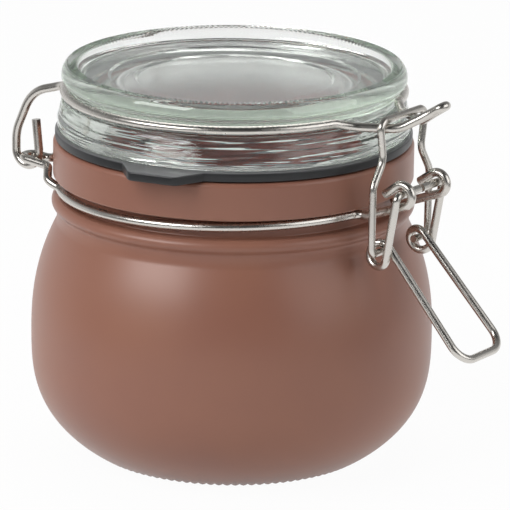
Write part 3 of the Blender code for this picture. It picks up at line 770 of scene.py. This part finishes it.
def make_lid(glass, seat):
    """The lid, whose underside is seat where the rubber is pressed against it."""
    crown_bottom = LID_GROOVE_Z + LID_GROOVE_HEIGHT + CROWN_LIP
    crown_middle = (RIDGE_OUTER, crown_bottom + 2 * CROWN_LIP)
    crown_height = LID_TOP - crown_middle[1]
    dish = outline(
        (0, WELL_Z, 0),
        (WELL_RADIUS - STEP_RISE, WELL_Z, STEP_BEND),
        (WELL_RADIUS + STEP_RISE, WELL_Z + STEP_RISE, STEP_BEND),
        (LEDGE_RADIUS - STEP_RISE, DISH_Z - STEP_RISE, STEP_BEND),
        (LEDGE_RADIUS + STEP_RISE, DISH_Z, STEP_BEND),
        (DISH_RADIUS, DISH_Z, DISH_FILLET),
        (RIDGE_INNER, LID_TOP, DISH_LIP_BEND),
        (RIDGE_OUTER - LAND_WIDTH / 3, LID_TOP, 0),
    )
    crown = [
        (RIDGE_OUTER + (CROWN_RADIUS - RIDGE_OUTER) * x, crown_middle[1] + crown_height * z)
        for x, z in arc((0, 0), 1, 90, 0, CROWN_STEPS)
    ]
    side = outline(
        (CROWN_RADIUS, crown_middle[1], 0),
        (CROWN_RADIUS - CROWN_LIP, crown_bottom, CROWN_LIP),
        (LID_GROOVE_RADIUS, LID_GROOVE_Z + LID_GROOVE_HEIGHT, CROWN_LIP),
        (LID_GROOVE_RADIUS, LID_GROOVE_Z, SOFT_EDGE),
        (LID_RADIUS - FLANGE_LEAN, LID_GROOVE_Z, FLANGE_EDGE),
        (LID_RADIUS, LID_Z + FLANGE_HEIGHT / 3, FLANGE_BEND),
        (LID_RADIUS, LID_Z, LID_EDGE),
        (SEAT_RADIUS, LID_Z, 0),
        (SPIGOT_RADIUS, LID_Z, SOFT_EDGE),
        (SPIGOT_RADIUS, LID_Z - SPIGOT_DEPTH, LID_EDGE),
        (SPIGOT_INNER_RADIUS, LID_Z - SPIGOT_DEPTH, LID_EDGE),
        (LID_HOLLOW_RADIUS, CEILING_Z, HOLLOW_BEND),
        (0, CEILING_Z, 0),
    )[1:]
    bm = turned(dish + crown + side, LAND_SEGMENTS, land_ridges)
    for face in bm.faces:
        face.material_index = int(all(pressed_on_rubber(corner.co) for corner in face.verts))
    return finish_mesh("pressed_lid", bm, [glass, seat], "lid", "glass_lid")


def gasket_edge(radius):
    """The gasket's outer edge as (radius, azimuth) pairs, once round, with the pull tab standing out."""
    reach = NECK_RADIUS + TAB_REACH
    root = math.asin(TAB_ROOT_HALF_WIDTH / radius)
    side = TAB_HALF_WIDTH - TAB_CORNER
    corner = arc((reach - TAB_CORNER, side), TAB_CORNER, 0, TAB_CORNER_TURN, TAB_CORNER_STEPS)
    front = evenly((reach, 0), (reach, side), TAB_SIDE_STEPS)[:-1]
    flank = evenly(corner[-1], (radius * math.cos(root), TAB_ROOT_HALF_WIDTH), TAB_SIDE_STEPS)[1:]
    half = [(math.hypot(out, across), math.atan2(across, out)) for out, across in front + corner + flank]
    tab = [(r, TAB_DIRECTION - a) for r, a in reversed(half[1:])]
    tab += [(r, TAB_DIRECTION + a) for r, a in half]
    rest = 2 * math.pi - 2 * root
    steps = round(ROUND_SEGMENTS * rest / (2 * math.pi))
    return tab + [(radius, TAB_DIRECTION + root + rest * i / steps) for i in range(1, steps)]


def make_gasket(rubber):
    """The flat ring under the lid, with rounded outer edges and its pull tab."""
    inner_radius = SPIGOT_RADIUS + WIRE_GAP
    low, high = GASKET_LOW.z, GASKET_HIGH.z
    outer_turn = arc((-GASKET_EDGE, low + GASKET_EDGE), GASKET_EDGE, -90, 0, GASKET_EDGE_STEPS)
    outer_turn += arc((-GASKET_EDGE, high - GASKET_EDGE), GASKET_EDGE, 0, 90, GASKET_EDGE_STEPS)
    bm = bmesh.new()
    rings = []
    for radius, azimuth in gasket_edge(NECK_RADIUS - GASKET_INSET):
        outer = [(radius + inset, z) for inset, z in outer_turn]
        section = [(inner_radius, low)] + outer + [(inner_radius, high)]
        rings.append([bm.verts.new((r * math.cos(azimuth), r * math.sin(azimuth), z)) for r, z in section])
    for this, following in zip(rings, rings[1:] + rings[:1]):
        for side in range(len(this)):
            after = (side + 1) % len(this)
            bm.faces.new((this[side], following[side], following[after], this[after]))
    return finish_mesh("sealing_ring", bm, [rubber], "lid", "rubber_gasket")


def make_wire(name, half, diameter, steel, body, node):
    """A wire along a path and its mirror image, where the half path starts on the plane of symmetry."""
    curve = bpy.data.curves.new(name, "CURVE")
    curve.dimensions = "3D"
    curve.bevel_depth = diameter / 2
    curve.bevel_resolution = WIRE_SIDES
    curve.use_fill_caps = True
    points = [Vector((p.x, -p.y, p.z)) for p in reversed(half[1:])] + half
    spline = curve.splines.new("POLY")
    spline.points.add(len(points) - 1)
    spline.use_smooth = True
    for target, point in zip(spline.points, points):
        target.co = (*point, 1.0)
    curve.materials.append(steel)
    return place(name, curve, body, node)


def loose(points):
    """Corners that keep their place, for stretches that are already smooth."""
    return [(Vector(point), 0) for point in points]


def ease(share):
    """A smooth step from 0 to 1."""
    share = min(max(share, 0), 1)
    return share * share * (3 - 2 * share)


def side_arc(middle, radius, start, end, start_y, end_y):
    """A fine arc seen from the side, in degrees from +X towards +Z, that may step sideways on its way."""
    steps = max(2, round(abs(end - start) / PATH_TURN))
    places = arc((middle.x, middle.z), radius, start, end, steps)
    return [Vector((x, start_y + (end_y - start_y) * i / steps, z)) for i, (x, z) in enumerate(places)]


def plan_arc(radius, start, end, height):
    """A fine arc round the jar's axis, in radians of azimuth, with height giving its height at each."""
    steps = max(2, round(abs(end - start) / PLAN_TURN))
    azimuths = [start + (end - start) * i / steps for i in range(steps + 1)]
    return [Vector((radius * math.cos(a), radius * math.sin(a), height(a))) for a in azimuths]


def tangent_angle(middle, radius, point, side):
    """Where the straight run from a point meets a round turn, in degrees; side is 1 or -1."""
    away = point - middle
    return math.degrees(math.atan2(away.z, away.x) + side * math.acos(radius / math.hypot(away.x, away.z)))


def neck_ring_height(azimuth):
    """The ring leans in its groove, highest at the clamp."""
    return NECK_RING_Z + NECK_RING_TILT * math.cos(azimuth)


def lid_ring_height(azimuth):
    """The ring leans in the lid's groove, highest at the clamp."""
    return LID_RING_Z + LID_RING_TILT * math.cos(azimuth)


def eye_point(x, y):
    """A point of the hinge eye, which leans down towards the neck."""
    return Vector((x, y, HINGE.z - (x - HINGE.x) * EYE_SLOPE))


def back_point(y):
    """Where the hinge eye's wire meets the neck's plain land behind."""
    return eye_point(-math.sqrt(BACK_RADIUS**2 - y**2), y)


def hinge_eye():
    """The wire from behind the neck, round the hinge eye and down into the groove, with its last azimuth."""
    root = back_point(HINGE_HALF_SPAN - EYE_HALF_WIDTH)
    entry = back_point(HINGE_HALF_SPAN + EYE_HALF_WIDTH)
    root_azimuth = math.atan2(root.y, root.x)
    entry_azimuth = math.atan2(entry.y, entry.x)
    span = plan_arc(BACK_RADIUS, math.pi, root_azimuth + 2 * PLAN_TURN, lambda azimuth: root.z)
    turn_middle = (HINGE.x + EYE_HALF_WIDTH, HINGE_HALF_SPAN)
    turn = arc(turn_middle, EYE_HALF_WIDTH, 270, 90, round(180 / PATH_TURN))
    lead = EYE_ENTRY_BEND * math.tan((entry_azimuth - math.pi / 2) / 2) / (BACK_RADIUS * EYE_DESCENT)
    descent = []
    for i in range(math.ceil(lead * DESCENT_STEPS) + 1, DESCENT_STEPS + 1):
        share = i / DESCENT_STEPS
        azimuth = entry_azimuth - EYE_DESCENT * share
        radius = BACK_RADIUS + (NECK_RING_RADIUS - BACK_RADIUS) * ease(2 * share - 1)
        height = entry.z + (neck_ring_height(azimuth) - entry.z) * ease(share)
        descent.append((radius * math.cos(azimuth), radius * math.sin(azimuth), height))
    corners = (
        loose(span)
        + [(root, EYE_ROOT_BEND)]
        + loose(eye_point(x, y) for x, y in turn)
        + [(entry, EYE_ENTRY_BEND)]
        + loose(descent)
    )
    return corners, entry_azimuth - EYE_DESCENT


def make_neck_wire(steel):
    """The hinge eye, the ring in the groove, and the eyelet that holds the lever at the front."""
    eye, ring_start = hinge_eye()
    front_azimuth = math.asin(EYELET_Y / NECK_RING_RADIUS)
    front_z = neck_ring_height(front_azimuth)
    front = Vector((NECK_RING_RADIUS * math.cos(front_azimuth), EYELET_Y, front_z))
    climb = Vector((NECK_RADIUS + EYELET_CLIMB_START, EYELET_Y, front_z))
    loop_start = tangent_angle(EYELET, EYELET_RADIUS, climb, 1)
    loop_end = 90 + math.degrees(EYELET_TAIL_ANGLE)
    loop = side_arc(EYELET, EYELET_RADIUS, loop_start, loop_end, EYELET_Y, EYELET_Y)
    tail = Vector((-math.cos(EYELET_TAIL_ANGLE), 0, -math.sin(EYELET_TAIL_ANGLE))) * EYELET_TAIL
    ring_end = front_azimuth + EYELET_FRONT_BEND / NECK_RING_RADIUS
    ring = plan_arc(NECK_RING_RADIUS, ring_start - PLAN_TURN, ring_end, neck_ring_height)
    half = bent(
        eye
        + loose(ring)
        + [(front, EYELET_FRONT_BEND), (climb, EYELET_CLIMB_BEND)]
        + loose(loop + [loop[-1] + tail])
    )
    return make_wire("neck_wire", half, RING_WIRE, steel, "jar", "neck_ring_wire")


def nose():
    """The lid wire's nose, from its tip to where the wire enters the groove."""
    forward = Vector((math.cos(NOSE_ANGLE), 0, math.sin(NOSE_ANGLE)))
    tip = Vector((LINK_TOP.x + NOSE_REACH, 0, NOSE_Z + NOSE_RISE))
    middle = tip - forward * NOSE_TIP_RADIUS
    quarter = arc((0, 0), NOSE_TIP_RADIUS, 0, 90, round(90 / PATH_TURN))
    turn = [middle + forward * along + Vector((0, across, 0)) for along, across in quarter]
    neck = turn[-1] - forward * NOSE_NECK
    front = Vector((LINK_TOP.x + NOSE_FRONT_REACH, NOSE_FRONT_HALF_WIDTH, NOSE_Z))
    root = Vector((LINK_TOP.x - NOSE_ROOT_REACH, NOSE_ROOT_HALF_WIDTH, NOSE_Z))
    return loose(turn) + [(neck, NOSE_NECK_BEND), (front, NOSE_FRONT_BEND), (root, NOSE_ROOT_BEND)]


def hinge_arm():
    """The wire from the lid's groove out and down to the hook's cut end, with its first azimuth."""
    y = HINGE_HALF_SPAN
    leave = math.asin((y + ARM_BEND) / (LID_RING_RADIUS + ARM_BEND))
    groove_y = LID_RING_RADIUS * math.sin(leave)
    corner_x = -LID_RING_RADIUS * math.cos(leave) - (groove_y - y) * math.tan(leave)
    hook = Vector((HINGE.x + HOOK_SHIFT, y, HINGE.z - RING_WIRE - WIRE_GAP + HOOK_RADIUS))
    stub_x = hook.x + HOOK_RADIUS
    corners = [
        (Vector((corner_x, y, lid_ring_height(math.pi - leave))), ARM_BEND),
        (Vector((HINGE.x + ARM_TOP_REACH, y, LID_RING_Z - ARM_TOP_DROP)), ARM_TOP_BEND),
        (Vector((HINGE.x + ARM_ELBOW_REACH, y, LID_RING_Z - ARM_ELBOW_DROP)), ARM_ELBOW_BEND),
        (Vector((hook.x - HOOK_RADIUS, y, HINGE.z + ARM_KNEE_RISE)), ARM_KNEE_BEND),
    ]
    corners += loose(side_arc(hook, HOOK_RADIUS, 180, 360, y, y))
    corners += [(Vector((stub_x, y, hook.z + HOOK_STUB_RISE)), HOOK_STUB_BEND)]
    corners += loose([(stub_x - HOOK_STUB_LEAN, y, hook.z + HOOK_STUB_HEIGHT)])
    return corners, math.pi - leave


def make_lid_wire(steel):
    """The nose at the front, the ring in the lid's groove, and the hinge arms with their hooks."""
    arm, ring_end = hinge_arm()
    ring = plan_arc(LID_RING_RADIUS, NOSE_SPLAY, ring_end - PLAN_TURN, lid_ring_height)
    return make_wire("lid_wire", bent(nose() + loose(ring) + arm), RING_WIRE, steel, "lid", "lid_ring_wire")


def make_lever(steel):
    """From the middle of the handle up the arm, once round the coil, and up to the pin in the eyelet."""
    bar = Vector((COIL.x + HANDLE_REACH, 0, COIL.z - HANDLE_DROP))
    corner = bar + Vector((0, HANDLE_HALF_WIDTH, 0))
    pivot = LEVER_PIVOT + Vector((0, LEVER_HALF_WIDTH, 0))
    coil_start = tangent_angle(COIL, COIL_RADIUS, corner, 1)
    coil_end = tangent_angle(COIL, COIL_RADIUS, pivot, -1) + 360
    coil = side_arc(COIL, COIL_RADIUS, coil_start, coil_end, COIL_Y, LEVER_HALF_WIDTH)
    half = bent(
        loose([bar])
        + [(corner, HANDLE_BEND)]
        + loose(coil)
        + [(pivot, LEVER_PIN_BEND)]
        + loose([LEVER_PIVOT + Vector((0, LEVER_PIN_END, 0))])
    )
    return make_wire("clamp_lever", half, LEVER_WIRE, steel, "lever", "lever_wire")


def link_point(half_width, z):
    """A point on the link's leaning plane."""
    share = (z - LINK_PIVOT.z) / (LINK_TOP.z - LINK_PIVOT.z)
    return Vector((LINK_PIVOT.x + (LINK_TOP.x - LINK_PIVOT.x) * share, half_width, z))


def make_link(steel):
    """From the middle of the crossbar down past the waist and shoulder to the pin in the lever's coil."""
    half = bent(
        loose([LINK_TOP])
        + [
            (link_point(LINK_TOP_HALF_WIDTH, LINK_TOP.z), LINK_TOP_BEND),
            (link_point(LINK_WAIST_HALF_WIDTH, LINK_TOP.z - LINK_WAIST_DROP), LINK_WAIST_BEND),
            (link_point(LINK_HALF_WIDTH, LINK_TOP.z - LINK_SHOULDER_DROP), LINK_SHOULDER_BEND),
            (link_point(LINK_HALF_WIDTH, LINK_PIVOT.z), LINK_PIN_BEND),
        ]
        + loose([link_point(LINK_HALF_WIDTH - LINK_PIN_LENGTH, LINK_PIVOT.z)])
    )
    return make_wire("clamp_bail", half, LINK_WIRE, steel, "link", "clamp_link")


def toward(azimuth, elevation):
    """The direction at an azimuth counted from the camera's own and an elevation, in radians."""
    level = Vector((math.cos(CAMERA_AZIMUTH + azimuth), math.sin(CAMERA_AZIMUTH + azimuth), 0))
    return level * math.cos(elevation) + Vector((0, 0, math.sin(elevation)))


def softbox(name, azimuth, elevation, distance, width, height, power):
    """A rectangular lamp aimed at the jar; a positive azimuth is to the camera's right, in degrees."""
    lamp = bpy.data.lights.new(name, "AREA")
    lamp.shape = "RECTANGLE"
    lamp.size = width
    lamp.size_y = height
    lamp.energy = power
    made = bpy.data.objects.new(name, lamp)
    bpy.context.scene.collection.objects.link(made)
    out = toward(math.radians(azimuth), math.radians(elevation))
    made.location = TARGET + out * distance
    made.rotation_euler = (-out).to_track_quat("-Z", "Y").to_euler()
    return made


def studio_surround():
    """A white backdrop behind and beside the jar and a dim room before it, but all white to the camera."""
    world = bpy.data.worlds.new("studio_surround")
    bpy.context.scene.world = world
    world.use_nodes = True
    tree = world.node_tree
    tree.nodes.clear()
    direction = add_node(tree, "ShaderNodeTexCoord")
    facing = add_node(
        tree,
        "ShaderNodeVectorMath",
        {"operation": "DOT_PRODUCT", 1: toward(0, 0)},
        {0: direction.outputs["Generated"]},
    )
    backdrop = add_node(
        tree,
        "ShaderNodeMapRange",
        {
            "interpolation_type": "SMOOTHSTEP",
            "From Min": BACKDROP_EDGE,
            "From Max": ROOM_EDGE,
            "To Min": 1.0,
            "To Max": ROOM_LEVEL,
        },
        {"Value": facing.outputs["Value"]},
    )
    height = add_node(tree, "ShaderNodeSeparateXYZ", links={"Vector": direction.outputs["Generated"]})
    ceiling = add_node(
        tree,
        "ShaderNodeMapRange",
        {
            "interpolation_type": "SMOOTHSTEP",
            "From Min": BACKDROP_TOP,
            "From Max": CEILING_EDGE,
            "To Min": 1.0,
            "To Max": CEILING_LEVEL,
        },
        {"Value": height.outputs["Z"]},
    )
    level = add_node(
        tree,
        "ShaderNodeMath",
        {"operation": "MULTIPLY"},
        {0: backdrop.outputs["Result"], 1: ceiling.outputs["Result"]},
    )
    room = add_node(tree, "ShaderNodeBackground", links={"Strength": level.outputs["Value"]})
    white = add_node(tree, "ShaderNodeBackground", {"Color": srgb("FFFFFF"), "Strength": 1.0})
    rays = add_node(tree, "ShaderNodeLightPath")
    mix = add_node(
        tree,
        "ShaderNodeMixShader",
        links={
            0: rays.outputs["Is Camera Ray"],
            1: room.outputs["Background"],
            2: white.outputs["Background"],
        },
    )
    add_node(tree, "ShaderNodeOutputWorld", links={"Surface": mix.outputs["Shader"]})


def make_floor():
    """A board that begins in front of the jar and runs far behind it, seen from the photograph's side."""
    middle = AXIS + toward(0, 0) * (FLOOR_FRONT - FLOOR_LENGTH / 2) - Vector((0, 0, FLOOR_GAP))
    bpy.ops.mesh.primitive_plane_add(size=1, location=middle, rotation=(0, 0, CAMERA_AZIMUTH))
    floor = bpy.context.object
    floor.scale = (FLOOR_LENGTH, FLOOR_WIDTH, 1)
    floor.name = "floor"
    floor.data.materials.append(studio_floor())


def make_camera():
    """The camera fitted to the photograph, whose lens is shifted to where the jar stands in the picture."""
    lens = bpy.data.cameras.new("camera")
    lens.sensor_width = SENSOR_MM
    lens.lens = FOCAL_PX / PICTURE_PX * SENSOR_MM
    lens.shift_x = 0.5 - TARGET_PX[0] / PICTURE_PX
    lens.shift_y = TARGET_PX[1] / PICTURE_PX - 0.5
    camera = bpy.data.objects.new("camera", lens)
    bpy.context.scene.collection.objects.link(camera)
    back = toward(0, CAMERA_ELEVATION)
    camera.location = TARGET + back * CAMERA_DISTANCE
    camera.rotation_mode = "QUATERNION"
    camera.rotation_quaternion = (-back).to_track_quat("-Z", "Y") @ Quaternion((0, 0, 1), CAMERA_ROLL)
    bpy.context.scene.camera = camera


lacquer = sprayed_lacquer()
steel = drawn_stainless()
make_jar(lacquer, lacquer_behind_glass())
make_lid(pressed_glass(), rubber_against_glass())
make_gasket(moulded_rubber())
for make in (make_neck_wire, make_lid_wire, make_lever, make_link):
    make(steel)

make_floor()
make_camera()
studio_surround()
key = softbox("key_softbox", azimuth=-58, elevation=38, distance=1.0, width=0.7, height=0.9, power=8.2)
softbox("fill_softbox", azimuth=62, elevation=25, distance=1.1, width=1.0, height=0.9, power=4.5)
top = softbox("top_softbox", azimuth=180, elevation=65, distance=1.0, width=0.8, height=0.6, power=4.0)
sparkle = softbox(
    "sparkle_softbox", azimuth=-50, elevation=30, distance=1.0, width=0.65, height=0.35, power=5.2
)
# The key and top lamps leave no reflection, and the sparkle lamp sheds no light on matt surfaces
key.visible_glossy = False
top.visible_glossy = False
sparkle.visible_diffuse = False
# Light turns round many times inside the lid's thick rim before it comes out
cycles = bpy.context.scene.cycles
cycles.max_bounces = cycles.transmission_bounces = cycles.glossy_bounces = GLASS_BOUNCES
bpy.context.scene.view_settings.view_transform = "Standard"
